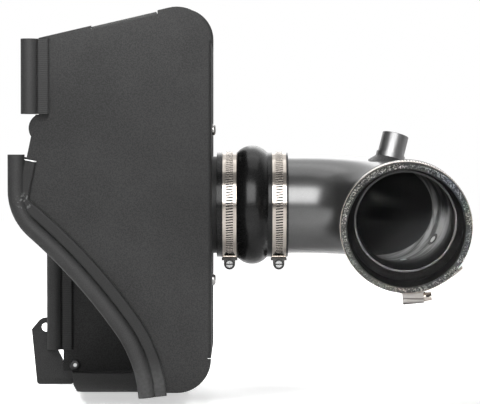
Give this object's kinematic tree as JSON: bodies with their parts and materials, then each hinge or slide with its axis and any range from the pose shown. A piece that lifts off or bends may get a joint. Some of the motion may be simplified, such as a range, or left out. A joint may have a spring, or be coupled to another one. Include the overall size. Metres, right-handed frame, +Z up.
{
  "type": "cold air intake pipe",
  "caption": "Bent intake tube with a stepped silicone throttle coupler, joined by a hump hose to a cone filter inside a folded heat shield with bulb seals.",
  "frame": {"origin": "centre of the coupler's mouth, where the throttle body enters", "axes": "+X along the inlet axis away from the heat shield, +Y away from the side that the coupler faces, +Z up as pictured"},
  "size_m": [0.4028, 0.2754, 0.3623],
  "materials": {
    "shield_coat": "fine textured black powder coat",
    "seal_rubber": "matte extruded rubber",
    "bracket_coat": "satin black coat",
    "fastener_steel": "bright zinc-plated steel",
    "adapter_plastic": "moulded black plastic",
    "hose_rubber": "semi-gloss moulded rubber",
    "clamp_steel": "polished stainless steel",
    "tube_coat": "gloss gunmetal powder coat",
    "bare_aluminium": "bare machined aluminium",
    "coupler_silicone": "fabric-reinforced black silicone",
    "filter_rubber": "moulded black urethane",
    "filter_media": "pleated cotton gauze"
  },
  "bodies": {
    "root": {"adapter_clamp_band": "clamp_steel", "adapter_clamp_housing": "clamp_steel", "adapter_clamp_screw": "clamp_steel", "adapter_nuts": "fastener_steel", "adapter_screws": "fastener_steel", "back_edge_seal": "seal_rubber", "bracket_nut": "fastener_steel", "bracket_screw": "fastener_steel", "filter_adapter": "adapter_plastic", "filter_base": "filter_rubber", "filter_cap": "filter_rubber", "filter_clamp_band": "clamp_steel", "filter_clamp_housing": "clamp_steel", "filter_clamp_screw": "clamp_steel", "filter_media": "filter_media", "heat_shield": "shield_coat", "hump_hose": "hose_rubber", "intake_tube": "tube_coat", "lower_edge_seal": "seal_rubber", "mount_bosses": "bare_aluminium", "mounting_bracket": "bracket_coat", "mouth_clamp_band": "clamp_steel", "mouth_clamp_housing": "clamp_steel", "mouth_clamp_screw": "clamp_steel", "sleeve_clamp_band": "clamp_steel", "sleeve_clamp_housing": "clamp_steel", "sleeve_clamp_screw": "clamp_steel", "throttle_coupler": "coupler_silicone", "tube_clamp_band": "clamp_steel", "tube_clamp_housing": "clamp_steel", "tube_clamp_screw": "clamp_steel", "upper_edge_seal": "seal_rubber", "vent_nipple": "bare_aluminium", "vent_weld": "bare_aluminium"}
  },
  "joints": []
}
